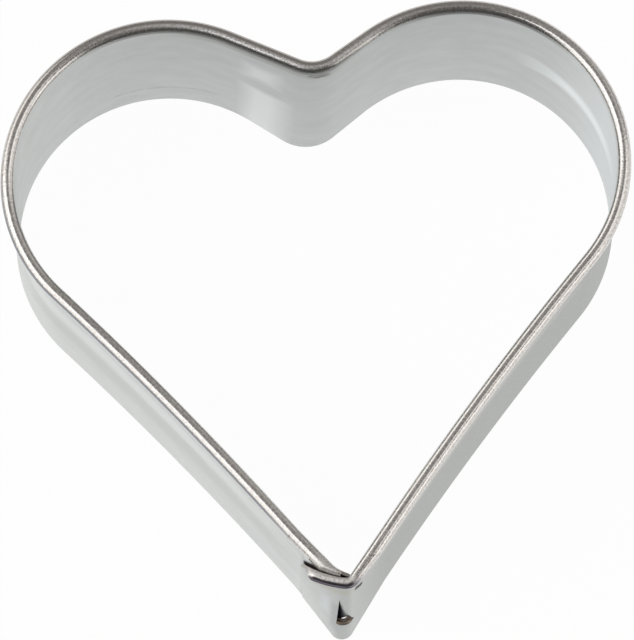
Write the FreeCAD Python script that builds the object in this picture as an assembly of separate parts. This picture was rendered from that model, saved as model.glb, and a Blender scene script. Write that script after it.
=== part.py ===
import FreeCAD, Part
import math
import os
from FreeCAD import Vector

# Heart cookie cutter: one tinplate strip with a curled rim, lapped and clinched at the tip of the heart.
# Millimetres. The strip stands on its cutting edge at z = 0, and the tip of the heart points to -Y.

# Driving dimensions
WIDTH = 60.0              # over the rim, across the two lobes
HEIGHT = 24.0             # cutting edge to the top of the rim
SHEET = 0.3               # thickness of the strip
RIM_DIAMETER = 1.3        # outside of the curl
CURL_SWEEP = 295.0        # degrees from the wall over the top and round to the free edge
LOBE_RADIUS = 14.75       # middle of the wall
NOTCH_SLOPE_EDGE = 36.0   # degrees, each side of the notch at the cutting edge against the X axis
NOTCH_SLOPE_LEFT = 26.5   # its left side at the rim, where the bend is skewed
NOTCH_SLOPE_RIGHT = 32.0  # and its right side
NOTCH_RADIUS_EDGE = 4.0   # bend of the notch at the cutting edge
NOTCH_RADIUS_RIM = 4.1    # and at the rim
NOTCH_EASE = 0.5          # share of each straight side of the notch's rim above the last of the lobe's bend
FLANK_SLOPE = 132.5       # degrees against the X axis at which a flank leaves its lobe
FLANK_RADIUS = 355.0      # the flanks are slightly hollow
TIP_RUN = 7.0             # straight end of each flank, up to the corner of the tip
LAP_GAP = 0.06            # between the two layers of the lap
TIP_RADIUS_EDGE = 0.7     # outer layer round the tip, at the cutting edge
TIP_RADIUS_RIM = 0.6      # and at the rim
LAP_LENGTH = 5.7          # outer layer past the tip, at the cutting edge
LAP_EARLY = 0.64          # at the rim the outer layer turns this far before the corner of the tip
LAP_TURN = 63.0           # degrees of that turn
LAP_CURVE_RADIUS = 10.0   # the rim of the lap then curves on round the other rim
LAP_CURVE_TURN = 25.0     # degrees, up to the end of the lap
LAP_CURVE_SPLIT = 0.12    # share of that curve above the rest of the tip's bend at the cutting edge
LAP_BARE_TURN = 3.5       # degrees before that end which have no curl
LAP_RIM_DIAMETER = 1.05   # the curl is pinched where it turns the tip
LAP_PINCH = 3.0           # length over which it narrows to that
INNER_RADIUS_EDGE = 0.5   # inner layer round the tip, at the cutting edge
INNER_RADIUS_RIM = 0.6    # and at the rim
INNER_EARLY = 1.5         # at the rim the inner layer starts to bend this far before the corner of the tip
INNER_EASE = 33.0         # degrees of that first bend
INNER_LENGTH = 3.6        # inner layer past the tip at the cutting edge, along the inside of the right flank
INNER_RIM_LENGTH = 0.1    # and at the rim, as its end is cut on the slant
INNER_CURL_SHARE = 0.6    # part of its first bend that keeps the curl
CLINCH_LOW = 5.7          # height of the tongue's lower cut
CLINCH_HIGH = 15.5        # height of its apex
CLINCH_LEFT = -0.75       # the tongue's corners across the tip
CLINCH_APEX = -0.3
CLINCH_RIGHT = 1.0
CLINCH_PUSH = 0.35        # inward step from the held corner of the tongue to its free corner
CLINCH_CLEAR = 0.15       # side clearance of that free corner
CLEAR_OUT = 3.0           # reach of cutting shapes past the metal

# Sizes that follow
HALF_SHEET = SHEET / 2
RIM_RADIUS = RIM_DIAMETER / 2
RIM_OUT = RIM_RADIUS - HALF_SHEET
LAP_RIM_RADIUS = LAP_RIM_DIAMETER / 2
RIM_HEIGHT = HEIGHT - RIM_RADIUS
LAYER_STEP = SHEET + LAP_GAP
UP = Vector(0, 0, 1)


def direction(degrees):
    """Unit vector in plan."""
    return Vector(math.cos(math.radians(degrees)), math.sin(math.radians(degrees)), 0)


def turned(vector, degrees):
    """The vector turned to the left in plan."""
    return FreeCAD.Rotation(UP, degrees).multVec(vector)


def left_of(vector):
    return Vector(-vector.y, vector.x, 0)


def mirrored(vector):
    """The same place or direction on the left half."""
    return Vector(-vector.x, vector.y, vector.z)


def at_height(point, z):
    return Vector(point.x, point.y, z)


def meet(point_a, dir_a, point_b, dir_b):
    """Where two lines in plan cross."""
    gap = point_b - point_a
    along = (gap.x * dir_b.y - gap.y * dir_b.x) / (dir_a.x * dir_b.y - dir_a.y * dir_b.x)
    return point_a + dir_a * along


# The plan of the strip is a chain of straight and round legs in the middle of its sheet,
# walked with the outside of the heart on the left
class Run:
    """Straight leg."""

    def __init__(self, start, end):
        self.start, self.end = start, end
        self.start_dir = self.end_dir = (end - start).normalize()

    def place(self, share, out=0):
        """Point at a share of the leg, moved outwards."""
        return self.start + (self.end - self.start) * share + left_of(self.start_dir) * out

    def part(self, first, last):
        return Run(self.place(first), self.place(last))

    def line(self, out, z):
        return Part.makeLine(at_height(self.place(0, out), z), at_height(self.place(1, out), z))

    def sweep(self, face):
        return face.extrude(self.end - self.start)


class Turn:
    """Round leg; a turn to the right is negative."""

    def __init__(self, start, start_dir, radius, degrees):
        self.start, self.start_dir, self.radius, self.degrees = start, start_dir, radius, degrees
        self.to_centre = math.copysign(radius, degrees)
        self.centre = start + left_of(start_dir) * self.to_centre
        self.end, self.end_dir = self.place(1), self.heading(1)

    def heading(self, share):
        return turned(self.start_dir, self.degrees * share)

    def place(self, share, out=0):
        """Point at a share of the leg, moved outwards."""
        return self.centre + left_of(self.heading(share)) * (out - self.to_centre)

    def part(self, first, last):
        return Turn(self.place(first), self.heading(first), self.radius, self.degrees * (last - first))

    def line(self, out, z):
        points = [at_height(self.place(share, out), z) for share in (0, 0.5, 1)]
        return Part.Arc(*points).toShape()

    def sweep(self, face):
        return face.revolve(self.centre, UP, self.degrees)


def cornered(start, corner, end, radius):
    """A run to a corner, a turn of the given radius round it, and a second run."""
    first, second = (corner - start).normalize(), (end - corner).normalize()
    degrees = math.degrees(math.atan2(first.x * second.y - first.y * second.x, first.dot(second)))
    tangent = radius * math.tan(math.radians(abs(degrees)) / 2)
    run_in = Run(start, corner - first * tangent)
    turn = Turn(run_in.end, first, radius, degrees)
    return [run_in, turn, Run(turn.end, end)]


# Cross-sections of the strip, where a leg starts
def strip_face(leg, base, rim_radius=RIM_RADIUS):
    """Wall from the given height up, with the curl on its outside."""
    outward = left_of(leg.start_dir)

    def place(out, z):
        return at_height(leg.start + outward * out, z)

    def on_curl(radius, swept):
        angle = math.radians(180 - swept)
        reach = rim_radius - HALF_SHEET + radius * math.cos(angle)
        return place(reach, RIM_HEIGHT + radius * math.sin(angle))

    def curl_arc(radius, *sweeps):
        return Part.Arc(*[on_curl(radius, swept) for swept in sweeps]).toShape()

    inside = rim_radius - SHEET
    edges = [curl_arc(rim_radius, 0, CURL_SWEEP / 2, CURL_SWEEP)]
    edges.append(Part.makeLine(on_curl(rim_radius, CURL_SWEEP), on_curl(inside, CURL_SWEEP)))
    edges.append(curl_arc(inside, CURL_SWEEP, CURL_SWEEP / 2, 0))
    corners = [place(HALF_SHEET, RIM_HEIGHT), place(-HALF_SHEET, RIM_HEIGHT)]
    if base < RIM_HEIGHT:
        corners[1:1] = [place(HALF_SHEET, base), place(-HALF_SHEET, base)]
    edges += [Part.makeLine(a, b) for a, b in zip(corners, corners[1:])]
    return Part.Face(Part.Wire(edges))


def outline(legs, z, inside, outside):
    """Closed outline of the wall in plan at a height, between two offsets from the middle of its sheet."""
    near = [leg.line(outside, z) for leg in legs]
    far = [leg.line(inside, z) for leg in reversed(legs)]
    end_cap = Part.makeLine(near[-1].lastVertex().Point, far[0].lastVertex().Point)
    start_cap = Part.makeLine(far[-1].firstVertex().Point, near[0].firstVertex().Point)
    return Part.Wire(near + [end_cap] + far + [start_cap])


def wall(edge_legs, rim_legs, inside=-HALF_SHEET, outside=HALF_SHEET):
    """Ruled wall from its legs at the cutting edge to its legs at the height of the rim's centre."""
    low = outline(edge_legs, 0, inside, outside)
    high = outline(rim_legs, RIM_HEIGHT, inside, outside)
    return Part.makeLoft([low, high], True, True)


def curl(legs, rim_radius=RIM_RADIUS):
    return [leg.sweep(strip_face(leg, RIM_HEIGHT, rim_radius)) for leg in legs]


def joined(pieces):
    """One clean solid from pieces that touch."""
    return pieces[0].fuse(pieces[1:]).removeSplitter()


def make_left(right):
    return right.mirror(Vector(0, 0, 0), Vector(1, 0, 0))


# Lobes, centred on the X axis: the cross-section turned about an upright axis, from a slope at the notch to the flank
half_middle = WIDTH / 2 - RIM_OUT - RIM_RADIUS
lobe_centre = Vector(half_middle - LOBE_RADIUS, 0, 0)


def lobe_place(slope):
    """Where the right lobe has this slope, on the side of the notch."""
    return lobe_centre + direction(slope + 90) * LOBE_RADIUS


def lobe_leg(slope):
    return Turn(lobe_place(slope), direction(slope), LOBE_RADIUS, -slope - FLANK_SLOPE)


def make_lobe(slope):
    leg = lobe_leg(slope)
    return leg.sweep(strip_face(leg, 0))


# Flanks: the cross-section turned about a far axis, until a straight run from there meets the other half at x = 0
lobe_end = lobe_leg(NOTCH_SLOPE_RIGHT).end
flank_axis_x = lobe_end.x + FLANK_RADIUS * math.sin(math.radians(FLANK_SLOPE))
flank_reach = math.hypot(FLANK_RADIUS, TIP_RUN)
tip_slope = 90 + math.degrees(math.acos(-flank_axis_x / flank_reach) - math.atan2(TIP_RUN, FLANK_RADIUS)) - 360
flank_leg = Turn(lobe_end, direction(-FLANK_SLOPE), FLANK_RADIUS, tip_slope + FLANK_SLOPE)
flank_end = flank_leg.end
tip_dir = flank_leg.end_dir
tip_corner = flank_end + tip_dir * TIP_RUN


def make_flank():
    return flank_leg.sweep(strip_face(flank_leg, 0))


# Notch: at the cutting edge it runs on round the lobes before it leaves them, at the rim it is straight and skewed
def make_notch():
    left_rim, right_rim = mirrored(lobe_place(NOTCH_SLOPE_LEFT)), lobe_place(NOTCH_SLOPE_RIGHT)
    left_edge, right_edge = mirrored(lobe_place(NOTCH_SLOPE_EDGE)), lobe_place(NOTCH_SLOPE_EDGE)
    left_dir, right_dir = direction(-NOTCH_SLOPE_LEFT), direction(NOTCH_SLOPE_RIGHT)
    edge_dir = direction(NOTCH_SLOPE_EDGE)
    edge_corner = meet(left_edge, mirrored(edge_dir), right_edge, edge_dir)
    edge = [Turn(left_rim, left_dir, LOBE_RADIUS, NOTCH_SLOPE_LEFT - NOTCH_SLOPE_EDGE)]
    edge += cornered(left_edge, edge_corner, right_edge, NOTCH_RADIUS_EDGE)
    edge.append(Turn(right_edge, edge_dir, LOBE_RADIUS, NOTCH_SLOPE_RIGHT - NOTCH_SLOPE_EDGE))
    rim_corner = meet(left_rim, left_dir, right_rim, right_dir)
    run_in, turn, run_out = cornered(left_rim, rim_corner, right_rim, NOTCH_RADIUS_RIM)
    rim = [run_in.part(0, NOTCH_EASE), run_in.part(NOTCH_EASE, 1), turn]
    rim += [run_out.part(0, 1 - NOTCH_EASE), run_out.part(1 - NOTCH_EASE, 1)]
    return joined([wall(edge, rim)] + curl([run_in, turn, run_out]))


# Tip: the outer layer comes down the right flank and laps onto the left, the inner layer goes the other way
left_end, left_dir = mirrored(flank_end), mirrored(tip_dir)
lap_line = tip_corner + mirrored(left_of(tip_dir)) * LAYER_STEP
edge_corner = meet(flank_end, tip_dir, lap_line, left_dir)
early = LAP_EARLY + TIP_RADIUS_RIM * math.tan(math.radians(LAP_TURN / 2))
lap_run = Run(flank_end, tip_corner - tip_dir * early)
lap_turn = Turn(lap_run.end, tip_dir, TIP_RADIUS_RIM, -LAP_TURN)
lap_curve = Turn(lap_turn.end, lap_turn.end_dir, LAP_CURVE_RADIUS, -LAP_CURVE_TURN)
outer_rim = [lap_run, lap_turn, lap_curve.part(0, LAP_CURVE_SPLIT), lap_curve.part(LAP_CURVE_SPLIT, 1)]
edge_run, tip_turn, lap_edge = cornered(flank_end, edge_corner, edge_corner - left_dir * LAP_LENGTH, TIP_RADIUS_EDGE)
alike = -LAP_TURN / tip_turn.degrees
outer_edge = [edge_run, tip_turn.part(0, alike), tip_turn.part(alike, 1), lap_edge]

inner_line = tip_corner - left_of(tip_dir) * LAYER_STEP
inner_corner = meet(inner_line, tip_dir, tip_corner, left_dir)
ease_corner = tip_corner - left_dir * INNER_EARLY
ease_dir = turned(left_dir, INNER_EASE)
nip_corner = meet(inner_line, tip_dir, ease_corner, ease_dir)
nip_reach = INNER_RIM_LENGTH + INNER_RADIUS_RIM
nip_run, nip_turn, ease_run = cornered(nip_corner - tip_dir * nip_reach, nip_corner, ease_corner, INNER_RADIUS_RIM)
ease_radius = (ease_corner - ease_run.start).Length / math.tan(math.radians(INNER_EASE / 2))
ease_turn = Turn(ease_run.start, ease_run.start_dir, ease_radius, -INNER_EASE)
under_run = Run(ease_turn.end, left_end)
inner_rim = [nip_run, nip_turn, ease_turn, under_run]
end_run, inner_turn, inner_run = cornered(inner_corner - tip_dir * INNER_LENGTH, inner_corner, left_end, INNER_RADIUS_EDGE)
inner_alike = nip_turn.degrees / inner_turn.degrees
inner_edge = [end_run, inner_turn.part(0, inner_alike), inner_turn.part(inner_alike, 1), inner_run]


def make_outer_layer():
    """Outer layer with its curl narrowing towards the tip and left off at the end of the lap."""
    pinch = lap_run.part(1 - LAP_PINCH / (lap_run.end - lap_run.start).Length, 1)
    wide = strip_face(pinch, RIM_HEIGHT).OuterWire
    narrow = strip_face(lap_turn, RIM_HEIGHT, LAP_RIM_RADIUS).OuterWire
    curls = curl([Run(lap_run.start, pinch.start)])
    curls.append(Part.makeLoft([wide, narrow], True, True))
    curls += curl([lap_turn, lap_curve.part(0, 1 - LAP_BARE_TURN / LAP_CURVE_TURN)], LAP_RIM_RADIUS)
    return joined([wall(outer_edge, outer_rim)] + curls)


def make_inner_layer():
    """Inner layer with its curl nipped on the slant where the outer layer crosses it."""
    outside = [-HALF_SHEET - LAP_GAP, CLEAR_OUT]
    crossing = [wall(outer_edge, outer_rim, *outside)]
    crossing.append(Part.Face(outline(outer_rim, RIM_HEIGHT, *outside)).extrude(UP * RIM_DIAMETER))
    curled = [ease_turn.part(1 - INNER_CURL_SHARE, 1), under_run]
    nipped = joined(curl(curled)).cut(joined(crossing))
    return joined([wall(inner_edge, inner_rim), nipped])


# Clinch: a triangle cut on its left and lower sides through both layers and bent inwards about the third
def clinch_prism():
    corners = [(CLINCH_LEFT, CLINCH_LOW), (CLINCH_RIGHT, CLINCH_LOW), (CLINCH_APEX, CLINCH_HIGH)]
    points = [Vector(x, tip_corner.y - CLEAR_OUT, z) for x, z in corners]
    return Part.Face(Part.makePolygon(points + points[:1])).extrude(Vector(0, 2 * CLEAR_OUT, 0))


def middle_of(layer, x, z):
    """Middle of a layer's thickness straight behind a place on its front."""
    probe = Part.makeLine(Vector(x, tip_corner.y - CLEAR_OUT, z), Vector(x, tip_corner.y + CLEAR_OUT, z))
    return probe.common(layer).Edges[0].CenterOfMass


def largest(shape):
    return max(shape.Solids, key=lambda solid: solid.Volume)


def make_tongue(layer):
    """Flat triangle of a layer's metal, still held on its slanting side, with its free corner pushed inwards."""
    apex = middle_of(layer, CLINCH_APEX, CLINCH_HIGH)
    foot = middle_of(layer, CLINCH_RIGHT, CLINCH_LOW)
    free = Vector(CLINCH_LEFT + CLINCH_CLEAR, foot.y + CLINCH_PUSH, CLINCH_LOW)
    normal = (foot - apex).cross(free - apex).normalize()
    points = [corner - normal * HALF_SHEET for corner in (apex, foot, free)]
    return Part.Face(Part.makePolygon(points + points[:1])).extrude(normal * SHEET)


def make_tip():
    """The two layers with the clinch's opening cut through them, and the tongues bent out of it."""
    outer, inner = make_outer_layer(), make_inner_layer()
    tongues = [make_tongue(outer), make_tongue(inner)]
    outer, inner = outer.cut(clinch_prism()), inner.cut(clinch_prism())
    tongues = [tongue.cut([outer, inner]) for tongue in tongues]
    names = ("tip_outer_layer", "tip_inner_layer", "clinch_outer_tongue", "clinch_inner_tongue")
    return dict(zip(names, [outer, inner] + tongues))


def build():
    solids = {"notch_bend": make_notch(), "right_flank": make_flank(), "left_flank": make_left(make_flank())}
    solids["right_lobe"] = make_lobe(NOTCH_SLOPE_RIGHT)
    solids["left_lobe"] = make_left(make_lobe(NOTCH_SLOPE_LEFT))
    solids.update(make_tip())
    return solids


# The origin of the part is the middle of the cutter's footprint
far_side = LOBE_RADIUS + RIM_OUT + RIM_RADIUS
near_edge = tip_turn.centre.y - TIP_RADIUS_EDGE - HALF_SHEET
near_rim = lap_turn.centre.y - TIP_RADIUS_RIM + HALF_SHEET - LAP_RIM_DIAMETER
middle = (far_side + min(near_edge, near_rim)) / 2

os.makedirs("parts", exist_ok=True)
for name, solid in build().items():
    solid = largest(solid)
    solid.translate(Vector(0, -middle, 0))
    solid.exportStep("parts/%s.step" % name)
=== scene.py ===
import math
import bmesh
import bpy
from mathutils import Matrix, Vector


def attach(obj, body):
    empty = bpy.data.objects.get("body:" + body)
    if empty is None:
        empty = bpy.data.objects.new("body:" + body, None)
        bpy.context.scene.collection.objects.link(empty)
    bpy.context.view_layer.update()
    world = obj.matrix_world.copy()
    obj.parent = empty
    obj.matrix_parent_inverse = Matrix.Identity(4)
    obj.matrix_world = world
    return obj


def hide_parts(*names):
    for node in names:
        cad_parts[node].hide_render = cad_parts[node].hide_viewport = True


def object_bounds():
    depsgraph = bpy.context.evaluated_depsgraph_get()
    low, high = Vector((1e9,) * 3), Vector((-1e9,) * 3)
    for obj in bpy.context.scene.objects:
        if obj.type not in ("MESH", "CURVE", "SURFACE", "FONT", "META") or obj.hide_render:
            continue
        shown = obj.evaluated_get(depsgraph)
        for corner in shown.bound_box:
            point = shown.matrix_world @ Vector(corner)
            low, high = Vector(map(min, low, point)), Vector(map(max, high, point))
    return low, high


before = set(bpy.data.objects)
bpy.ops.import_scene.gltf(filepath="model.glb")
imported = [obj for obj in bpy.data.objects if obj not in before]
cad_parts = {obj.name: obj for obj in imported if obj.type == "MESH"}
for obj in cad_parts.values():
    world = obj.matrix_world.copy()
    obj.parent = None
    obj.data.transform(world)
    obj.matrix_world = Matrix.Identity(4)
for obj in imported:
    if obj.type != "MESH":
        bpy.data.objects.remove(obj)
cad_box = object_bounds()
cad_low, cad_high = cad_box


# The strip. One length of tinplate, about 0.3 mm thick, bent to a heart and standing on its cutting edge.
# Its upper edge is rolled outwards into a hollow curl, so the wall and the rim are the same sheet.
# Two lobes, the slightly skewed notch between them and two slightly hollow flanks are bent into it.
MM = 0.001
SHEET = 0.3 * MM
RIM_DIAMETER = 1.3 * MM
CURL_SWEEP = 295.0
LOBE_RADIUS = 14.75 * MM
NOTCH_SLOPE_EDGE = 36.0
NOTCH_SLOPE_LEFT = 26.5
NOTCH_SLOPE_RIGHT = 32.0
NOTCH_RADIUS_EDGE = 4.0 * MM
NOTCH_RADIUS_RIM = 4.1 * MM
FLANK_SLOPE = 132.5
FLANK_RADIUS = 355.0 * MM
TIP_RUN = 7.0 * MM
CURL_RADIUS = (RIM_DIAMETER - SHEET) / 2
RIM_HEIGHT = cad_high.z - RIM_DIAMETER / 2
RIM_REACH = RIM_DIAMETER - SHEET / 2
WALL_ROWS = 18
CURL_ROWS = 44
LOBE_STEPS = 110
FLANK_STEPS = 30
NOTCH_STEPS = 12
NOTCH_TURN_STEPS = 2 * NOTCH_STEPS
SHARP_EDGE = 40.0
INSIDE_SLOT, SHEARED_SLOT = 1, 2


def direction(degrees):
    return Vector((math.cos(math.radians(degrees)), math.sin(math.radians(degrees)), 0))


def left_of(vector):
    return Vector((-vector.y, vector.x, 0))


def mirrored(vector):
    """The same place or direction on the left half."""
    return Vector((-vector.x, vector.y, vector.z))


def meet(point_a, dir_a, point_b, dir_b):
    """Where two lines in plan cross."""
    gap = point_b - point_a
    along = (gap.x * dir_b.y - gap.y * dir_b.x) / (dir_a.x * dir_b.y - dir_a.y * dir_b.x)
    return point_a + dir_a * along


# A route is a list of the wall's feet, each with its outward direction, which is on the route's left
def run(start, end, steps):
    out = left_of((end - start).normalized())
    return [(start.lerp(end, i / steps), out) for i in range(steps + 1)]


def bend(start, heading, radius, degrees, steps):
    """Arc that turns to the left, or to the right where the degrees are negative."""
    to_centre = math.copysign(radius, degrees)
    centre = start + left_of(heading) * to_centre
    turns = [Matrix.Rotation(math.radians(degrees * i / steps), 3, "Z") for i in range(steps + 1)]
    outs = [turn @ left_of(heading) for turn in turns]
    return [(centre - out * to_centre, out) for out in outs]


def run_on(route, end, steps):
    return route + run(route[-1][0], end, steps)[1:]


def bend_on(route, radius, degrees, steps):
    foot, out = route[-1]
    return route + bend(foot, -left_of(out), radius, degrees, steps)[1:]


def turn_between(first, second):
    """Degrees to the left from one direction in plan to another."""
    return math.degrees(math.atan2(first.x * second.y - first.y * second.x, first.dot(second)))


def corner_tangent(radius, degrees):
    """Length from a corner to the ends of an arc round it."""
    return radius * math.tan(math.radians(abs(degrees)) / 2)


def corner_on(route, corner, end, radius, run_steps, turn_steps):
    """Goes on to a corner, round it with the given radius, and from there to an end."""
    first, second = (corner - route[-1][0]).normalized(), (end - corner).normalized()
    degrees = turn_between(first, second)
    route = run_on(route, corner - first * corner_tangent(radius, degrees), run_steps)
    return run_on(bend_on(route, radius, degrees, turn_steps), end, run_steps)


def reversed_mirror(route):
    """The same route on the left half, walked the same way round the heart."""
    return [(mirrored(foot), mirrored(out)) for foot, out in reversed(route)]


def route_length(route):
    return sum((second - first).length for (first, _), (second, _) in zip(route, route[1:]))


def section(curl_radius=CURL_RADIUS, squeeze=1.0):
    """Middle of the sheet up the wall and round the curl, as pairs of reach and height."""
    wall = [(0.0, RIM_HEIGHT * row / WALL_ROWS) for row in range(WALL_ROWS)]
    turns = [math.radians(CURL_SWEEP * row / CURL_ROWS) for row in range(CURL_ROWS + 1)]
    reaches = [squeeze * curl_radius * (1 - math.cos(turn)) for turn in turns]
    heights = [RIM_HEIGHT + curl_radius * math.sin(turn) for turn in turns]
    return wall + list(zip(reaches, heights))


def noise(tree, scale_along, scale_up, detail):
    """Cloudy field with so many features in a millimetre along the strip and up it."""
    stretch = tree.nodes.new("ShaderNodeMapping")
    stretch.inputs["Scale"].default_value = (scale_along, scale_up, 1)
    tree.links.new(tree.nodes["strip_place"].outputs["UV"], stretch.inputs["Vector"])
    field = tree.nodes.new("ShaderNodeTexNoise")
    field.inputs["Scale"].default_value = 1.0
    field.inputs["Detail"].default_value = detail
    tree.links.new(stretch.outputs["Vector"], field.inputs["Vector"])
    return field.outputs["Fac"]


def spread(tree, field, start, end, low, high):
    """A field's range from start to end as a range from low to high."""
    ramp = tree.nodes.new("ShaderNodeMapRange")
    ramp.inputs["From Min"].default_value = start
    ramp.inputs["From Max"].default_value = end
    ramp.inputs["To Min"].default_value = low
    ramp.inputs["To Max"].default_value = high
    tree.links.new(field, ramp.inputs["Value"])
    return ramp.outputs["Result"]


def blend(tree, kind, share, first, second):
    """The first colour or number, with a share of the second."""
    mix = tree.nodes.new("ShaderNodeMix")
    mix.data_type = kind
    tree.links.new(share, mix.inputs["Factor"])
    sockets = [s for s in mix.inputs if s.enabled and s.name in "AB"]
    for socket, value in zip(sockets, (first, second)):
        if isinstance(value, bpy.types.NodeSocket):
            tree.links.new(value, socket)
        else:
            socket.default_value = value
    return [s for s in mix.outputs if s.enabled][0]


def least(tree, first, second):
    """The smaller of two fields."""
    smaller = tree.nodes.new("ShaderNodeMath")
    smaller.operation = "MINIMUM"
    tree.links.new(first, smaller.inputs[0])
    tree.links.new(second, smaller.inputs[1])
    return smaller.outputs[0]


# Features in a millimetre along the strip and up it, with their detail
CLOUDS = (0.25, 0.5, 3.0)
ROLLING_LINES = (0.25, 22.0, 4.0)
CURL_GRAIN = (4.5, 4.5, 2.0)
FIELD_RANGE = (0.3, 0.7)
GRAIN_TONE_RANGE = (0.35, 0.65)
RAGGED_DETAIL = 3.0
RAGGED_RANGE = (0.42, 0.58)
CURL_FROM = (RIM_HEIGHT / MM + 0.05, RIM_HEIGHT / MM + 0.3)
CURL_BROWN = (0.55, 0.515, 0.49, 1)
CURL_GREY = (0.75, 0.74, 0.72, 1)
CURL_ROUGH = (0.17, 0.26)
BRUSHED_WALL = 0.65
BRUSHED_TURN = 0.25
RELIEF_DEPTH = 0.02 * MM
LINES_RELIEF, GRAIN_RELIEF = 0.25, 0.4


def tinplate(name, dull, bright, wall_rough):
    """Tinned steel with a cloudy polish and rolling lines, browner and grainy on the curl."""
    metal = bpy.data.materials.new(name)
    metal.use_nodes = True
    tree = metal.node_tree
    shader = tree.nodes["Principled BSDF"]
    shader.inputs["Metallic"].default_value = 1.0
    place = tree.nodes.new("ShaderNodeUVMap")
    place.name = "strip_place"
    place.uv_map = "Strip"
    split = tree.nodes.new("ShaderNodeSeparateXYZ")
    split.name = "strip_split"
    tree.links.new(place.outputs["UV"], split.inputs["Vector"])
    on_curl = spread(tree, split.outputs["Y"], *CURL_FROM, 0, 1)
    clouds = noise(tree, *CLOUDS)
    lines = noise(tree, *ROLLING_LINES)
    grain = noise(tree, *CURL_GRAIN)
    wall_tone = blend(tree, "RGBA", spread(tree, clouds, *FIELD_RANGE, 0, 1), dull, bright)
    grain_share = spread(tree, grain, *GRAIN_TONE_RANGE, 0, 1)
    curl_tone = blend(tree, "RGBA", grain_share, CURL_BROWN, CURL_GREY)
    tree.links.new(blend(tree, "RGBA", on_curl, wall_tone, curl_tone), shader.inputs["Base Color"])
    rough_wall = spread(tree, lines, *FIELD_RANGE, *wall_rough)
    rough_curl = spread(tree, grain, *FIELD_RANGE, *CURL_ROUGH)
    tree.links.new(blend(tree, "FLOAT", on_curl, rough_wall, rough_curl), shader.inputs["Roughness"])
    rolling = tree.nodes.new("ShaderNodeTangent")
    rolling.direction_type = "UV_MAP"
    rolling.uv_map = "Strip"
    tree.links.new(rolling.outputs["Tangent"], shader.inputs["Tangent"])
    tree.links.new(spread(tree, on_curl, 0, 1, BRUSHED_WALL, 0), shader.inputs["Anisotropic"])
    shader.inputs["Anisotropic Rotation"].default_value = BRUSHED_TURN
    relief = tree.nodes.new("ShaderNodeBump")
    relief.inputs["Distance"].default_value = RELIEF_DEPTH
    tree.links.new(spread(tree, on_curl, 0, 1, LINES_RELIEF, GRAIN_RELIEF), relief.inputs["Strength"])
    tree.links.new(blend(tree, "FLOAT", on_curl, lines, grain), relief.inputs["Height"])
    tree.links.new(relief.outputs["Normal"], shader.inputs["Normal"])
    return metal


def stain(metal, along, up, fade, tone, share, ragged=None, socket="Base Color"):
    """Mixes a tone into a metal between two places along the strip and two up it, in millimetres."""
    tree = metal.node_tree
    split = tree.nodes["strip_split"]
    bands = []
    for axis, (start, end), soft in (("X", along, fade[0]), ("Y", up, fade[1])):
        rise = spread(tree, split.outputs[axis], start - soft, start + soft, 0, share)
        fall = spread(tree, split.outputs[axis], end - soft, end + soft, share, 0)
        bands.append(least(tree, rise, fall))
    mask = least(tree, *bands)
    if ragged:
        specks = noise(tree, *ragged, RAGGED_DETAIL)
        mask = least(tree, mask, spread(tree, specks, *RAGGED_RANGE, 0, share))
    entry = tree.nodes["Principled BSDF"].inputs[socket]
    kind = "FLOAT" if socket == "Roughness" else "RGBA"
    before = entry.links[0].from_socket if entry.is_linked else tuple(entry.default_value)
    tree.links.new(blend(tree, kind, mask, before, tone), entry)


# The inside copy of the tinplate is painted a little darker than the outside one, as shade
outside_metal = tinplate("tinplate_outside", (0.62, 0.64, 0.63, 1), (0.67, 0.69, 0.68, 1), (0.45, 0.55))
inside_metal = tinplate("tinplate_inside", (0.56, 0.58, 0.57, 1), (0.61, 0.63, 0.62, 1), (0.40, 0.50))
sheared_metal = tinplate("sheared_edge", (0.34, 0.29, 0.25, 1), (0.56, 0.52, 0.48, 1), (0.35, 0.50))
sheet_metals = (outside_metal, inside_metal, sheared_metal)


def sheet_from(name, grid, marks, rows, cutter=None):
    """Sheet of the strip's thickness round a grid of points, with so many rows of faces in each column."""
    build = bmesh.new()
    strip_map = build.loops.layers.uv.new("Strip")
    corners = [[build.verts.new(point) for point in column] for column in grid]
    for i, height in enumerate(rows):
        for k in range(height):
            around = [(i, k), (i, k + 1), (i + 1, k + 1), (i + 1, k)]
            face = build.faces.new([corners[a][b] for a, b in around])
            face.smooth = True
            for loop, (a, b) in zip(face.loops, around):
                loop[strip_map].uv = marks[a][b]
    bmesh.ops.delete(build, geom=[v for v in build.verts if not v.link_faces], context="VERTS")
    mesh = bpy.data.meshes.new(name)
    build.to_mesh(mesh)
    build.free()
    for metal in sheet_metals:
        mesh.materials.append(metal)
    piece = bpy.data.objects.new(name, mesh)
    bpy.context.scene.collection.objects.link(piece)
    thickness = piece.modifiers.new("thickness", "SOLIDIFY")
    thickness.thickness = SHEET
    thickness.offset = 0.0
    thickness.material_offset = INSIDE_SLOT
    thickness.material_offset_rim = SHEARED_SLOT
    if cutter:
        opening = piece.modifiers.new("opening", "BOOLEAN")
        opening.object = cutter
        opening.solver = "EXACT"
    piece.data = bpy.data.meshes.new_from_object(piece.evaluated_get(bpy.context.evaluated_depsgraph_get()))
    piece.modifiers.clear()
    piece.data.name = name
    for vertex in piece.data.vertices:
        vertex.co = [min(max(c, a), b) for c, a, b in zip(vertex.co, cad_low, cad_high)]
    piece.data.set_sharp_from_angle(angle=math.radians(SHARP_EDGE))
    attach(piece, "root")
    return piece


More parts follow.
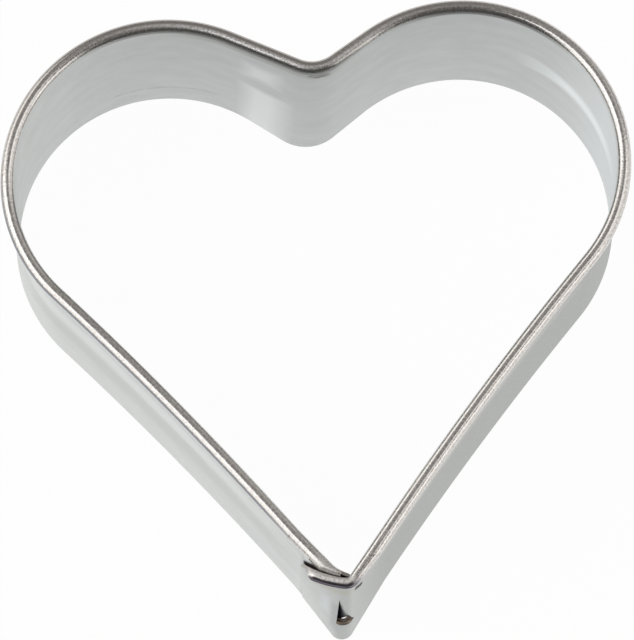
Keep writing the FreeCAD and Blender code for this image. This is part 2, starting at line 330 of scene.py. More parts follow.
def rolled_sheet(name, low, high, sections, begin, bare=(), cutter=None):
    """Wall with its curl, from its routes at the cutting edge and the rim and its place on the strip."""
    grid, marks = [], []
    along = begin
    for station, ((foot_low, out_low), (foot_high, out_high)) in enumerate(zip(low, high)):
        along += (foot_high - high[max(station - 1, 0)][0]).length
        column, column_marks, up, before = [], [], 0.0, sections[station][0]
        for reach, height in sections[station]:
            share = min(height / RIM_HEIGHT, 1)
            place = (foot_low + out_low * reach).lerp(foot_high + out_high * reach, share)
            column.append((place.x, place.y, height))
            up += math.dist(before, (reach, height))
            before = (reach, height)
            column_marks.append((along / MM, up / MM))
        grid.append(column)
        marks.append(column_marks)
    rows = [WALL_ROWS if i in bare else WALL_ROWS + CURL_ROWS for i in range(len(grid) - 1)]
    return sheet_from(name, grid, marks, rows, cutter)


lobe_centre = Vector((cad_high.x - RIM_REACH - LOBE_RADIUS, cad_high.y - RIM_REACH - LOBE_RADIUS, 0))


def lobe_route(slope):
    """Round the right lobe from this slope at the notch to the flank."""
    start = lobe_centre + direction(slope + 90) * LOBE_RADIUS
    return bend(start, direction(slope), LOBE_RADIUS, -slope - FLANK_SLOPE, LOBE_STEPS)


right_lobe = lobe_route(NOTCH_SLOPE_RIGHT)
left_lobe = reversed_mirror(lobe_route(NOTCH_SLOPE_LEFT))
lobe_end = right_lobe[-1][0]
flank_axis_x = lobe_end.x + FLANK_RADIUS * math.sin(math.radians(FLANK_SLOPE))
tip_reach = math.hypot(FLANK_RADIUS, TIP_RUN)
tip_angle = math.degrees(math.acos(-flank_axis_x / tip_reach) - math.atan2(TIP_RUN, FLANK_RADIUS))
right_flank = bend_on(right_lobe[-1:], FLANK_RADIUS, tip_angle + 90 + FLANK_SLOPE - 360, FLANK_STEPS)
left_flank = reversed_mirror(right_flank)
notch_left, notch_right = left_lobe[-1][0], right_lobe[0][0]
left_dir, right_dir = direction(-NOTCH_SLOPE_LEFT), direction(NOTCH_SLOPE_RIGHT)
notch_low = bend(notch_left, left_dir, LOBE_RADIUS, NOTCH_SLOPE_LEFT - NOTCH_SLOPE_EDGE, NOTCH_STEPS)
notch_foot = lobe_centre + direction(NOTCH_SLOPE_EDGE + 90) * LOBE_RADIUS
edge_dir = direction(NOTCH_SLOPE_EDGE)
notch_corner = meet(mirrored(notch_foot), mirrored(edge_dir), notch_foot, edge_dir)
notch_low = corner_on(notch_low, notch_corner, notch_foot, NOTCH_RADIUS_EDGE, NOTCH_STEPS, NOTCH_TURN_STEPS)
notch_low = bend_on(notch_low, LOBE_RADIUS, NOTCH_SLOPE_RIGHT - NOTCH_SLOPE_EDGE, NOTCH_STEPS)
notch_high = [(notch_left, left_of(left_dir))]
rim_corner = meet(notch_left, left_dir, notch_right, right_dir)
rim_steps = 2 * NOTCH_STEPS
notch_high = corner_on(notch_high, rim_corner, notch_right, NOTCH_RADIUS_RIM, rim_steps, NOTCH_TURN_STEPS)
notch_length = route_length(notch_high)
right_flank_begin = notch_length + route_length(right_lobe)
left_flank_begin = -route_length(left_lobe) - route_length(left_flank)

# The tones below, and those in the sections on the tip and the clinch, are set to match the photograph.
# Some may be reflections or shade there and not the metal's own colour, and they stay under any light.

# The right flank is painted darker outside, as shade, with a faint painted reflection band half way up
RIGHT_FLANK_PAINTED_SHADE = (0.46, 0.472, 0.462, 1)
RIGHT_FLANK_PAINTED_REFLECTION = (0.60, 0.60, 0.58, 1)
stain(outside_metal, along=(46, 96), up=(-5, 23), fade=(6, 0.5), tone=RIGHT_FLANK_PAINTED_SHADE, share=1.0)
stain(outside_metal, along=(60, 93), up=(13.6, 17.5), fade=(4, 0.9), tone=RIGHT_FLANK_PAINTED_REFLECTION, share=0.6)

# Painted reflections on the left flank: a bright band, a greyer one under it and a pale one at the cutting
# edge
LEFT_FLANK_PAINTED_REFLECTION = (0.725, 0.745, 0.735, 1)
LEFT_FLANK_PAINTED_GREY_REFLECTION = (0.585, 0.60, 0.59, 1)
LEFT_FLANK_PAINTED_PALE_REFLECTION = (0.675, 0.69, 0.68, 1)
stain(outside_metal, along=(-68, -36), up=(12.2, 15.6), fade=(3, 0.8), tone=LEFT_FLANK_PAINTED_REFLECTION, share=0.85)
stain(outside_metal, along=(-72, -36), up=(7.2, 11.4), fade=(3, 1.2), tone=LEFT_FLANK_PAINTED_GREY_REFLECTION, share=0.8)
stain(outside_metal, along=(-64, -36), up=(-2, 5.0), fade=(3, 1.5), tone=LEFT_FLANK_PAINTED_PALE_REFLECTION, share=0.7)

# Inside, painted reflections light the notch's left side and the right lobe's far side, with a streak on the
# lobe
NOTCH_PAINTED_REFLECTION = (0.79, 0.81, 0.80, 1)
LOBE_PAINTED_REFLECTION = (0.69, 0.715, 0.72, 1)
LOBE_PAINTED_STREAK_HIGHLIGHT = (0.86, 0.89, 0.90, 1)
stain(inside_metal, along=(2.4, 6.4), up=(-2, 12.0), fade=(1.3, 0.7), tone=NOTCH_PAINTED_REFLECTION, share=0.9)
stain(inside_metal, along=(2.2, 5.4), up=(15.4, 19.4), fade=(1.0, 1.0), tone=NOTCH_PAINTED_REFLECTION, share=0.8)
stain(inside_metal, along=(38, 52), up=(-2, 23.3), fade=(4, 0.5), tone=LOBE_PAINTED_REFLECTION, share=0.9)
stain(inside_metal, along=(33, 44), up=(10.6, 13.4), fade=(3, 0.8), tone=LOBE_PAINTED_STREAK_HIGHLIGHT, share=0.9)

# The wall is darker under the curl at the notch, with dark streaks; a fine broken line runs low on the left
# lobe
NOTCH_UNDER_CURL_DARK = (0.42, 0.42, 0.40, 1)
NOTCH_UNDER_CURL_STREAKS = (0.10, 0.09, 0.08, 1)
FINE_LINE = (0.38, 0.39, 0.38, 1)
STREAKS = (0.8, 5.0)
stain(inside_metal, along=(-4, 10.5), up=(22.2, 24.0), fade=(3, 0.35), tone=NOTCH_UNDER_CURL_DARK, share=0.7)
stain(inside_metal, (8.3, 10.3), (22.0, 23.0), fade=(0.2, 0.15), tone=NOTCH_UNDER_CURL_STREAKS, share=0.8, ragged=STREAKS)
stain(inside_metal, (-11.5, -1.5), (4.0, 4.4), fade=(1, 0.12), tone=FINE_LINE, share=0.7, ragged=STREAKS)

# Near the notch the curl has painted shade on its outer side, and is rougher on top with a painted glint
NOTCH_CURL_OUTER_PAINTED_SHADE = (0.44, 0.41, 0.39, 1)
SPARKLE_ROUGH = 0.34
NOTCH_PAINTED_GLINT = (0.97, 0.95, 0.95, 1)
NOTCH_GLINT_SPECKS = (5.0, 6.0)
sparkle_rough_place = ((-13, 19), (23.85, 24.2), (6, 0.08))
notch_painted_glint_place = ((-6.5, 16), (23.88, 24.16), (5, 0.06))
stain(inside_metal, along=(-24, 28), up=(24.15, 26), fade=(6, 0.08), tone=NOTCH_CURL_OUTER_PAINTED_SHADE, share=0.75)
stain(inside_metal, *sparkle_rough_place, SPARKLE_ROUGH, share=1.0, socket="Roughness")
stain(inside_metal, *notch_painted_glint_place, NOTCH_PAINTED_GLINT, share=0.85, ragged=NOTCH_GLINT_SPECKS)

# Painted shade lies at the curl's foot inside both lobes and in a line along the left rim's outer side
FOOT_UP = (23.2, 23.75)
FOOT_FADE = (2.5, 0.15)
LEFT_FOOT_PAINTED_SHADE = (0.25, 0.25, 0.24, 1)
RIGHT_FOOT_PAINTED_SHADE = (0.18, 0.18, 0.175, 1)
LEFT_RIM_PAINTED_SHADE_LINE = (0.24, 0.25, 0.28, 1)
stain(inside_metal, along=(-12.5, 12), up=FOOT_UP, fade=FOOT_FADE, tone=LEFT_FOOT_PAINTED_SHADE, share=0.85)
stain(inside_metal, along=(20, 34), up=FOOT_UP, fade=FOOT_FADE, tone=RIGHT_FOOT_PAINTED_SHADE, share=0.85)
stain(inside_metal, along=(-73, -30), up=(24.58, 24.82), fade=(3, 0.06), tone=LEFT_RIM_PAINTED_SHADE_LINE, share=0.95)

stretches = {
    "notch_bend": (notch_low, notch_high, 0.0),
    "right_lobe": (right_lobe, right_lobe, notch_length),
    "left_lobe": (left_lobe, left_lobe, -route_length(left_lobe)),
    "right_flank": (right_flank, right_flank, right_flank_begin),
    "left_flank": (left_flank, left_flank, left_flank_begin),
}
for node, (low, high, begin) in stretches.items():
    piece = rolled_sheet("strip_" + node, low, high, [section()] * len(low), begin)
    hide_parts(node)


# The tip's outer layer. The right end of the strip runs round the tip and lies on the left flank.
# Its curl is pinched as it turns the tip, stands off the left rim and stops before the sheared end.
# The hammered nose stands out a little at the cutting edge, and the lap's end is pressed flush there.
LAP_GAP = 0.06 * MM
TIP_RADIUS_RIM = 0.6 * MM
NOSE_RADIUS = 1.02 * MM
NOSE_RIGHT = (1.43 * MM, 0.26 * MM)
NOSE_LEFT = (1.78 * MM, 0.41 * MM)
LAP_END = (5.7 * MM, 0.15 * MM)
LAP_EARLY = 0.57 * MM
LAP_TURN = 63.0
LAP_CURVE_RADIUS = 10.0 * MM
LAP_CURVE_TURN = 25.0
LAP_CURVE_SPLIT = 0.12
LAP_BARE_STEPS = 6
LAP_CURL_RADIUS = (1.05 * MM - SHEET) / 2
LAP_PINCH_STEPS = 10
LAP_ROUND_STEPS = 4
LAP_ROUND_SHARE = 0.9
RUN_STEPS, TURN_STEPS, SPLIT_STEPS, LAP_STEPS = 20, 14, 8, 24
CLINCH_LOW = 5.7 * MM
CLINCH_HIGH = 15.5 * MM
CLINCH_LEFT = -0.75 * MM
CLINCH_APEX = -0.5 * MM
CLINCH_RIGHT = 1.0 * MM
CLINCH_REACH = 3.0 * MM
layer_step = SHEET + LAP_GAP
flank_end, tip_out = right_flank[-1]
tip_dir = -left_of(tip_out)
tip_corner = flank_end + tip_dir * TIP_RUN
left_tip_dir, left_tip_out = mirrored(tip_dir), mirrored(tip_out)
lap_begin = right_flank_begin + route_length(right_flank)


def clinch_cutter():
    """Triangular punch that goes through both layers and leaves sheared sides."""
    build = bmesh.new()
    strip_map = build.loops.layers.uv.new("Strip")
    corners = [(CLINCH_LEFT, CLINCH_LOW), (CLINCH_RIGHT, CLINCH_LOW), (CLINCH_APEX, CLINCH_HIGH)]
    front = [build.verts.new((x, tip_corner.y - CLINCH_REACH, z)) for x, z in corners]
    back = [build.verts.new((x, tip_corner.y + CLINCH_REACH, z)) for x, z in corners]
    build.faces.new(front)
    build.faces.new(list(reversed(back)))
    for i in range(len(corners)):
        build.faces.new([front[i - 1], front[i], back[i], back[i - 1]])
    bmesh.ops.recalc_face_normals(build, faces=build.faces)
    for face in build.faces:
        face.material_index = SHEARED_SLOT
        for loop in face.loops:
            across = loop.vert.co.y - tip_corner.y
            loop[strip_map].uv = ((lap_begin + TIP_RUN + across) / MM, loop.vert.co.z / MM)
    mesh = bpy.data.meshes.new("clinch_punch")
    build.to_mesh(mesh)
    build.free()
    for metal in sheet_metals:
        mesh.materials.append(metal)
    punch = bpy.data.objects.new("clinch_punch", mesh)
    bpy.context.scene.collection.objects.link(punch)
    return punch


def beside_tip(flank_dir, flank_out, place):
    """Foot so far back from the tip's corner along a flank, and so far out from it."""
    return tip_corner - flank_dir * place[0] + flank_out * place[1]


def ramp_to(last, steps, count):
    """Shares that rise from 0 to 1 over some steps up to the last one, and stay there."""
    return [min(max((i - last) / steps + 1, 0), 1) for i in range(count)]


punch = clinch_cutter()
bpy.context.view_layer.update()
lap_start = tip_corner - tip_dir * (LAP_EARLY + corner_tangent(TIP_RADIUS_RIM, LAP_TURN))
lap_high = bend_on(run(flank_end, lap_start, RUN_STEPS), TIP_RADIUS_RIM, -LAP_TURN, TURN_STEPS)
lap_high = bend_on(lap_high, LAP_CURVE_RADIUS, -LAP_CURVE_TURN * LAP_CURVE_SPLIT, SPLIT_STEPS)
lap_high = bend_on(lap_high, LAP_CURVE_RADIUS, -LAP_CURVE_TURN * (1 - LAP_CURVE_SPLIT), LAP_STEPS)
nose_right = beside_tip(tip_dir, tip_out, NOSE_RIGHT)
nose_left = beside_tip(left_tip_dir, left_tip_out, NOSE_LEFT)
lap_end = beside_tip(left_tip_dir, left_tip_out, LAP_END)
nose_right_dir = (nose_right - flank_end).normalized()
nose_left_dir = (lap_end - nose_left).normalized()
nose_corner = meet(flank_end, nose_right_dir, lap_end, nose_left_dir)
nose_turn = turn_between(nose_right_dir, nose_left_dir)
lap_low = run(flank_end, nose_corner - nose_right_dir * corner_tangent(NOSE_RADIUS, nose_turn), RUN_STEPS)
lap_low = bend_on(lap_low, NOSE_RADIUS, -LAP_TURN, TURN_STEPS)
lap_low = bend_on(lap_low, NOSE_RADIUS, nose_turn + LAP_TURN, SPLIT_STEPS)
lap_low = run_on(lap_low, lap_end, LAP_STEPS)
bare_end = range(len(lap_high) - 1 - LAP_BARE_STEPS, len(lap_high) - 1)
pinches = ramp_to(RUN_STEPS, LAP_PINCH_STEPS, len(lap_high))
rounds = ramp_to(bare_end[0], LAP_ROUND_STEPS, len(lap_high))
lap_radii = [CURL_RADIUS + (LAP_CURL_RADIUS - CURL_RADIUS) * pinch for pinch in pinches]
end_shares = [math.sqrt(1 - (end * LAP_ROUND_SHARE) ** 2) for end in rounds]
lap_sections = [section(radius * share) for radius, share in zip(lap_radii, end_shares)]
lap_turn = (lap_begin + route_length(lap_high[:RUN_STEPS + 1])) / MM
lap_stop = (lap_begin + route_length(lap_high)) / MM

# The lap's curl is matt and scuffed inside and on top, with painted highlight specks and glint; painted
# shade outside
SCUFF_ROUGH = 0.65
LAP_PAINTED_HIGHLIGHT_SPECKS = (0.90, 0.88, 0.85, 1)
FINE_SPECKS = (7.0, 7.0)
LAP_PAINTED_GLINT = (1, 0.98, 0.97, 1)
LAP_GLINT_SPECKS = (5.0, 9.0)
LAP_CURL_PAINTED_SHADE = (0.10, 0.085, 0.12, 1)
LAP_CURL_SHADE_GLANCE = (0.09, 0.075, 0.11, 1)
lap_matt_and_highlight_place = ((lap_turn, lap_stop), (23.5, 24.0), (0.4, 0.1))
lap_painted_glint_place = ((lap_turn + 0.8, lap_stop - 1), (23.84, 24.02), (0.4, 0.05))
lap_shade_along = (lap_turn - 0.1, lap_stop)
stain(inside_metal, *lap_matt_and_highlight_place, SCUFF_ROUGH, share=1.0, socket="Roughness")
stain(inside_metal, *lap_matt_and_highlight_place, LAP_PAINTED_HIGHLIGHT_SPECKS, share=0.9, ragged=FINE_SPECKS)
stain(inside_metal, lap_shade_along, (24.12, 27.0), fade=(0.6, 0.08), tone=LAP_CURL_PAINTED_SHADE, share=0.9)
stain(inside_metal, lap_shade_along, (24.3, 27.0), (0.6, 0.1), LAP_CURL_SHADE_GLANCE, share=1.0, socket="Specular Tint")
stain(inside_metal, *lap_painted_glint_place, LAP_PAINTED_GLINT, share=1.0, ragged=LAP_GLINT_SPECKS)

# Painted shade under the lap's curl, a warm painted reflection lower down, a pale and a grey streak by the
# clinch
UNDER_CURL_PAINTED_SHADE = (0.16, 0.155, 0.17, 1)
UNDER_CURL_SHADE_GLANCE = (0.30, 0.29, 0.31, 1)
WARM_PAINTED_REFLECTION = (0.52, 0.50, 0.40, 1)
PALE_STREAK = (0.66, 0.69, 0.70, 1)
GREY_STREAK = (0.42, 0.44, 0.44, 1)
under_curl_shade_place = ((lap_turn + 0.2, lap_stop - 0.9), (21.9, 24.5), (0.5, 1.5))
warm_reflection_along = (lap_turn, lap_stop - 0.6)
stain(outside_metal, *under_curl_shade_place, UNDER_CURL_PAINTED_SHADE, share=0.8)
stain(outside_metal, *under_curl_shade_place, UNDER_CURL_SHADE_GLANCE, share=0.8, socket="Specular Tint")
stain(outside_metal, warm_reflection_along, (17.8, 19.6), fade=(0.8, 0.7), tone=WARM_PAINTED_REFLECTION, share=0.5)
stain(outside_metal, along=(97.9, 98.9), up=(7.5, 14.5), fade=(0.4, 1.2), tone=PALE_STREAK, share=0.8)
stain(outside_metal, along=(97.0, 97.7), up=(3.0, 13.0), fade=(0.3, 1.5), tone=GREY_STREAK, share=0.7)

# A short slanting scratch on the right side just before the turn, in small overlapping marks
SCRATCH = (0.02, 0.02, 0.02, 1)
SCRATCH_MARKS = 4
SCRATCH_STEP = (0.3, 0.5)
for mark in range(SCRATCH_MARKS):
    along, up = (mark * step for step in SCRATCH_STEP)
    scratch_place = ((94.35 + along, 94.75 + along), (14.75 + up, 15.6 + up), (0.06, 0.1))
    stain(outside_metal, *scratch_place, SCRATCH, share=1.0)

# The sheared end is bright at its top, and the clinch's lower lip is a rough brown burr
SHEARED_BRIGHT = (0.92, 0.90, 0.87, 1)
SHEARED_ROUGH = 0.8
BURR = (0.84, 0.72, 0.61, 1)
BURR_ROUGH = 0.75
BURR_GRAIN = (4.0, 4.0)
sheared_top = ((lap_stop - 1.2, lap_stop + 1), (22.8, 25), (0.1, 0.1))
clinch_lip = ((90, 103), (4, 7), (0.1, 0.3))
stain(sheared_metal, *sheared_top, SHEARED_BRIGHT, share=1.0)
stain(sheared_metal, *sheared_top, SHEARED_ROUGH, share=1.0, socket="Roughness")
stain(sheared_metal, *clinch_lip, BURR, share=0.95, ragged=BURR_GRAIN)
stain(sheared_metal, *clinch_lip, BURR_ROUGH, share=1.0, socket="Roughness")
outer = rolled_sheet("tip_lap", lap_low, lap_high, lap_sections, lap_begin, bare_end, cutter=punch)
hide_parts("tip_outer_layer")


# The tip's inner layer. The left end of the strip turns the tip inside the lap and ends on the right flank.
# Its curl is pressed narrower as it goes in under the outer layer, and only its wall runs on to the end.
# A small joggle at the cutting edge takes the lap's end, and the clinch is cut through both layers.
NIP_GAP = 0.32 * MM
NIP_RADIUS = 0.1 * MM
NIP_LENGTH = 0.05 * MM
INNER_EARLY = 1.4 * MM
INNER_PRESS = 0.25 * MM
INNER_EASE = 31.0
INNER_LENGTH = 3.6 * MM
JOGGLE = (5.95 * MM, 0.05 * MM)
UNDER_LEAST = 0.3
NIP_STEPS, EASE_STEPS, UNDER_STEPS, JOGGLE_STEPS, BEFORE_STEPS = 8, 16, 22, 3, 5
left_end = mirrored(flank_end)
ease_corner = tip_corner - left_tip_dir * INNER_EARLY - left_tip_out * INNER_PRESS
ease_dir = Matrix.Rotation(math.radians(INNER_EASE), 3, "Z") @ (ease_corner - left_end).normalized()
nip_corner = meet(tip_corner - tip_out * NIP_GAP, tip_dir, ease_corner, ease_dir)
nip_turn = turn_between(tip_dir, -ease_dir)
nip_start = nip_corner - tip_dir * corner_tangent(NIP_RADIUS, nip_turn)
under_high = run(nip_start - tip_dir * NIP_LENGTH, nip_start, NIP_STEPS)
under_high = bend_on(under_high, NIP_RADIUS, nip_turn, TURN_STEPS)
ease_radius = (ease_corner - under_high[-1][0]).length / math.tan(math.radians(INNER_EASE / 2))
under_high = bend_on(under_high, ease_radius, -INNER_EASE, EASE_STEPS)
under_high = run_on(under_high, left_end, UNDER_STEPS + JOGGLE_STEPS + BEFORE_STEPS)
inner_radius = NOSE_RADIUS - layer_step
inner_right = flank_end - left_of(nose_right_dir) * layer_step
inner_left = lap_end - left_of(nose_left_dir) * layer_step
inner_corner = meet(inner_right, nose_right_dir, inner_left, nose_left_dir)
inner_bend = inner_corner - nose_right_dir * corner_tangent(inner_radius, nose_turn)
under_low = run(inner_corner - nose_right_dir * INNER_LENGTH, inner_bend, NIP_STEPS)
under_low = bend_on(under_low, inner_radius, nip_turn, TURN_STEPS)
under_low = bend_on(under_low, inner_radius, nose_turn - nip_turn, EASE_STEPS)
under_low = run_on(under_low, inner_left, UNDER_STEPS)
under_low = run_on(under_low, beside_tip(left_tip_dir, left_tip_out, JOGGLE), JOGGLE_STEPS)
under_low = run_on(under_low, left_end, BEFORE_STEPS)
gaps = [min((foot - other).length for other, _ in lap_high) for foot, _ in under_high]
squeezes = [min((gap - SHEET) / (2 * CURL_RADIUS), 1) for gap in gaps]
bare_start = [i for i, squeeze in enumerate(squeezes) if squeeze < UNDER_LEAST]
under_sections = [section(squeeze=max(squeeze, UNDER_LEAST)) for squeeze in squeezes]
under_begin = left_flank_begin - route_length(under_high)
under_mark, flank_mark = under_begin / MM, left_flank_begin / MM

# Painted shade makes the wall nearly black behind the lap and runs out in a wedge along the lap's end
BEHIND_LAP_PAINTED_SHADE = (0.04, 0.03, 0.025, 1)
WEDGE_PAINTED_SHADE = (0.03, 0.026, 0.026, 1)
BEHIND_LAP_SHADE_GLANCE = (0.12, 0.08, 0.06, 1)
WEDGE_MARKS = 7
WEDGE_STEP = (0.17, 0.36)
behind_lap_shade_place = ((under_mark - 1, flank_mark - 2.25), (-1, 23.2), (0.2, 0.1))
stain(outside_metal, *behind_lap_shade_place, BEHIND_LAP_PAINTED_SHADE, share=0.95)
stain(outside_metal, *behind_lap_shade_place, BEHIND_LAP_SHADE_GLANCE, share=1.0, socket="Specular Tint")
for mark in range(WEDGE_MARKS):
    along, up = (mark * step for step in WEDGE_STEP)
    wedge_shade_place = ((flank_mark - 2.4, flank_mark - 1.05 - along), (13.2, 14.5 + up), (0.1, 0.35))
    stain(outside_metal, *wedge_shade_place, WEDGE_PAINTED_SHADE, share=0.95)
    stain(outside_metal, *wedge_shade_place, BEHIND_LAP_SHADE_GLANCE, share=1.0, socket="Specular Tint")

# The pressed end of the curl is scuffed and matt, with painted highlight specks
PRESSED_ROUGH = 0.42
PRESSED_PAINTED_HIGHLIGHT = (0.88, 0.86, 0.83, 1)
pressed_matt_and_highlight_place = ((under_mark - 1, under_mark + 3.4), (23.5, 26), (0.5, 0.1))
stain(inside_metal, *pressed_matt_and_highlight_place, PRESSED_ROUGH, share=1.0, socket="Roughness")
stain(inside_metal, *pressed_matt_and_highlight_place, PRESSED_PAINTED_HIGHLIGHT, share=0.8, ragged=FINE_SPECKS)
inner = rolled_sheet("tip_under", under_low, under_high, under_sections, under_begin, bare_start,
                     cutter=punch)
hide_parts("tip_inner_layer")
bpy.data.objects.remove(punch)


# The clinch. A triangle of both layers, cut on its left and its lower side and pushed inwards.
# Each tongue stays joined to its layer along the slanting right side and is dished behind the slit.
TONGUE_COLUMNS, TONGUE_ROWS = 16, 18
TONGUE_TOP = 0.97
TONGUE_PUSH = 0.8 * MM
TONGUE_DEEPEST = 0.45
TONGUE_RISE = 0.4
TONGUE_PLACE = 200.0
HINGE_LAP = 0.04 * MM


def nose_at(x, height):
    """Foot of the outer layer at this place across the tip and this height, and its outward direction."""
    share = height / RIM_HEIGHT
    feet = [(a.lerp(b, share), c.lerp(d, share)) for (a, c), (b, d) in zip(lap_low, lap_high)]
    for (first, first_out), (second, second_out) in zip(feet, feet[1:]):
        if second.x <= x <= first.x:
            part = (first.x - x) / (first.x - second.x)
            return first.lerp(second, part), first_out.lerp(second_out, part).normalized()


def dish(share):
    """Depth of a tongue from its hinge, at 0, past the deepest place to its free edge, at 1."""
    if share < TONGUE_DEEPEST:
        return 1 - (1 - share / TONGUE_DEEPEST) ** 2
    return 1 - TONGUE_RISE * ((share - TONGUE_DEEPEST) / (1 - TONGUE_DEEPEST)) ** 2


def tongue(name, node, behind):
    """Tongue of one layer, so far behind the outer one."""
    grid, marks = [], []
    for column in range(TONGUE_COLUMNS + 1):
        share = column / TONGUE_COLUMNS
        points, places = [], []
        for row in range(TONGUE_ROWS + 1):
            level = TONGUE_TOP * row / TONGUE_ROWS
            height = CLINCH_LOW + (CLINCH_HIGH - CLINCH_LOW) * level
            hinge = CLINCH_RIGHT + (CLINCH_APEX - CLINCH_RIGHT) * level + HINGE_LAP
            free = CLINCH_LEFT + (CLINCH_APEX - CLINCH_LEFT) * level
            foot, out = nose_at(hinge + (free - hinge) * share, height)
            pushed = Vector((0, TONGUE_PUSH * (1 - level) * dish(share), height))
            points.append(foot - out * behind + pushed)
            places.append((TONGUE_PLACE + share, height / MM))
        grid.append(points)
        marks.append(places)
    piece = sheet_from(name, grid, marks, [TONGUE_ROWS] * TONGUE_COLUMNS)
    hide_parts(node)


# The tongues are painted darker as shade from the hinge to the free side, which lies in the slit's shade
TONGUE_PAINTED_SHADE = (0.10, 0.10, 0.11, 1)
TONGUE_PAINTED_DEEP_SHADE = (0.015, 0.015, 0.017, 1)
TONGUE_SHADE_GLANCE = (0.12, 0.12, 0.13, 1)
ALL_HEIGHTS = (0, 30)
tongue_end = TONGUE_PLACE + 2
tongue_shade_glance_place = ((TONGUE_PLACE + 0.5, tongue_end), ALL_HEIGHTS, (0.2, 1))
stain(outside_metal, (TONGUE_PLACE + 0.35, tongue_end), ALL_HEIGHTS, (0.2, 1), TONGUE_PAINTED_SHADE, share=1.0)
stain(outside_metal, (TONGUE_PLACE + 0.65, tongue_end), ALL_HEIGHTS, (0.1, 1), TONGUE_PAINTED_DEEP_SHADE, share=1.0)
stain(outside_metal, *tongue_shade_glance_place, TONGUE_SHADE_GLANCE, share=1.0, socket="Specular Tint")
tongue("clinch_tongue_outer", "clinch_outer_tongue", 0.0)
tongue("clinch_tongue_inner", "clinch_inner_tongue", layer_step)


# The floor. A plain sheet of white paper that the cutter stands on, wide enough to run out of view.
# It shows as white to the camera and in the metal, with only a trace of the cutter's shadow.
FLOOR_SIZE = 3.0
FLOOR_SQUARES = 8
FLOOR_GLOW = 0.97
PAPER_WHITE = (0.92, 0.92, 0.92, 1)
PAPER_ROUGH = 0.9
build = bmesh.new()
bmesh.ops.create_grid(build, x_segments=FLOOR_SQUARES, y_segments=FLOOR_SQUARES, size=FLOOR_SIZE / 2)
floor_mesh = bpy.data.meshes.new("floor")
build.to_mesh(floor_mesh)
build.free()
floor = bpy.data.objects.new("floor", floor_mesh)
bpy.context.scene.collection.objects.link(floor)
paper = bpy.data.materials.new("white_paper")
paper.use_nodes = True
paper_nodes, paper_links = paper.node_tree.nodes, paper.node_tree.links
paper_shader = paper_nodes["Principled BSDF"]
paper_shader.inputs["Base Color"].default_value = PAPER_WHITE
paper_shader.inputs["Roughness"].default_value = PAPER_ROUGH
paper_glow = paper_nodes.new("ShaderNodeEmission")
paper_glow.inputs["Strength"].default_value = 1.0
paper_mix = paper_nodes.new("ShaderNodeMixShader")
paper_ray = paper_nodes.new("ShaderNodeLightPath")
paper_seen = paper_nodes.new("ShaderNodeMath")
paper_seen.operation = "MAXIMUM"
paper_share = paper_nodes.new("ShaderNodeMath")
paper_share.operation = "MULTIPLY"
paper_share.inputs[1].default_value = FLOOR_GLOW
paper_links.new(paper_ray.outputs["Is Camera Ray"], paper_seen.inputs[0])
paper_links.new(paper_ray.outputs["Is Glossy Ray"], paper_seen.inputs[1])
paper_links.new(paper_seen.outputs[0], paper_share.inputs[0])
paper_links.new(paper_share.outputs[0], paper_mix.inputs["Fac"])
paper_links.new(paper_shader.outputs["BSDF"], paper_mix.inputs[1])
paper_links.new(paper_glow.outputs["Emission"], paper_mix.inputs[2])
paper_links.new(paper_mix.outputs["Shader"], paper_nodes["Material Output"].inputs["Surface"])
floor_mesh.materials.append(paper)


# The light. Soft boxes of a studio: two on the left, three on the right and a dim one at the back right.
# A large dim wall stands behind the cutter and leans over it, and the rest of the room is dark.
# The boxes' places follow the bright and dark bands that the curl shows.
LIGHT_AIM = Vector((0, 0, 0.02))
COOL_WHITE = (0.99, 1, 1)
SOFT_WHITE = (1, 0.99, 0.97)
LEFT_WARM = (1, 0.985, 0.96)
RIGHT_WARM = (1, 0.98, 0.95)
BACK_WARM = (1, 0.975, 0.95)
ROOM_TONE = (0.125, 0.12, 0.117, 1)


def soft_box(name, place, width, depth, brightness, colour):
    """Area light whose face shows the given brightness."""
    lamp = bpy.data.lights.new(name, "AREA")
    lamp.shape = "RECTANGLE"
    lamp.size = width
    lamp.size_y = depth
    lamp.energy = brightness * math.pi * width * depth
    lamp.color = colour
    box = bpy.data.objects.new(name, lamp)
    box.location = place
    box.rotation_mode = "QUATERNION"
    box.rotation_quaternion = (LIGHT_AIM - Vector(place)).to_track_quat("-Z", "Y")
    bpy.context.scene.collection.objects.link(box)


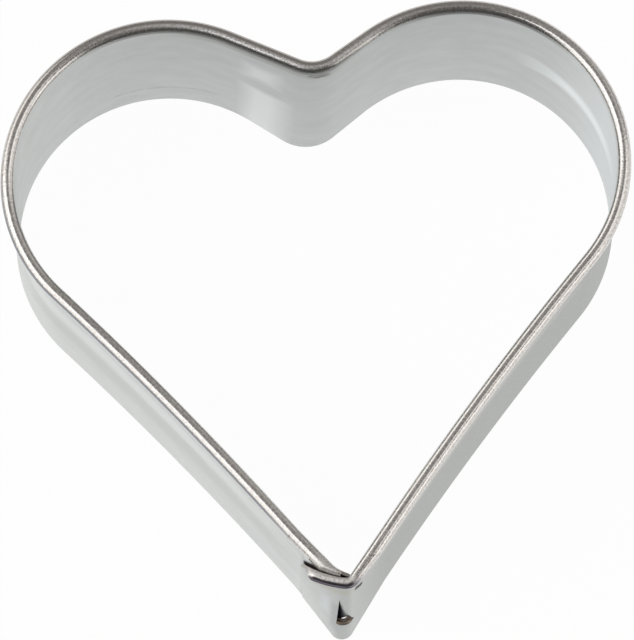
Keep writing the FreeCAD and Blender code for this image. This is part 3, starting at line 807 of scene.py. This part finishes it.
soft_box("left_top", (-0.53, -0.08, 0.95), width=0.84, depth=0.58, brightness=1.55, colour=COOL_WHITE)
soft_box("left_side", (-0.83, 0.16, 0.50), width=1.95, depth=0.72, brightness=1.35, colour=LEFT_WARM)
soft_box("right_top", (0.62, 0.02, 0.885), width=0.54, depth=0.58, brightness=1.05, colour=SOFT_WHITE)
soft_box("right_side", (0.94, -0.05, 0.36), width=0.80, depth=0.70, brightness=0.8, colour=RIGHT_WARM)
soft_box("right_front", (0.75, -0.55, 0.40), width=0.46, depth=0.72, brightness=1.1, colour=RIGHT_WARM)
soft_box("back_right", (0.74, 0.50, 0.52), width=0.55, depth=0.90, brightness=0.25, colour=BACK_WARM)
soft_box("back_wall", (0.18, 0.68, 0.70), width=1.7, depth=2.1, brightness=0.19, colour=BACK_WARM)
room = bpy.data.worlds.new("room")
bpy.context.scene.world = room
room.use_nodes = True
room.node_tree.nodes["Background"].inputs["Color"].default_value = ROOM_TONE
room.node_tree.nodes["Background"].inputs["Strength"].default_value = 1.0
bpy.context.scene.view_settings.view_transform = "Standard"


# The camera. A long lens high above the cutter, a little to the left of its middle and slightly rolled.
# Its place and focal length come from a fit to the cutter's edges in the photograph's frame.
PHOTO_HEIGHT = 640
FOCAL_PIXELS = 9928.5
SENSOR = 36.0
DISTANCE = 963.2 * MM
ELEVATION = 75.72
AZIMUTH = -5.24
ROLL = 1.32
AIM = Vector((-0.37 * MM, lobe_centre.y - 8.64 * MM, 0))
FARTHEST = 10.0
turned, raised, rolled = (math.radians(angle) for angle in (AZIMUTH, ELEVATION, ROLL))
back = Vector((math.sin(turned) * math.cos(raised), -math.cos(turned) * math.cos(raised), math.sin(raised)))
level = Vector((math.cos(turned), math.sin(turned), 0))
upright = back.cross(level)
across = level * math.cos(rolled) + upright * math.sin(rolled)
upward = upright * math.cos(rolled) - level * math.sin(rolled)
lens = bpy.data.cameras.new("camera")
lens.sensor_width = SENSOR
lens.lens = FOCAL_PIXELS * SENSOR / PHOTO_HEIGHT
lens.clip_end = FARTHEST
camera = bpy.data.objects.new("camera", lens)
camera_turn = Matrix((across, upward, back)).transposed().to_4x4()
camera.matrix_world = Matrix.Translation(AIM + back * DISTANCE) @ camera_turn
bpy.context.scene.collection.objects.link(camera)
bpy.context.scene.camera = camera
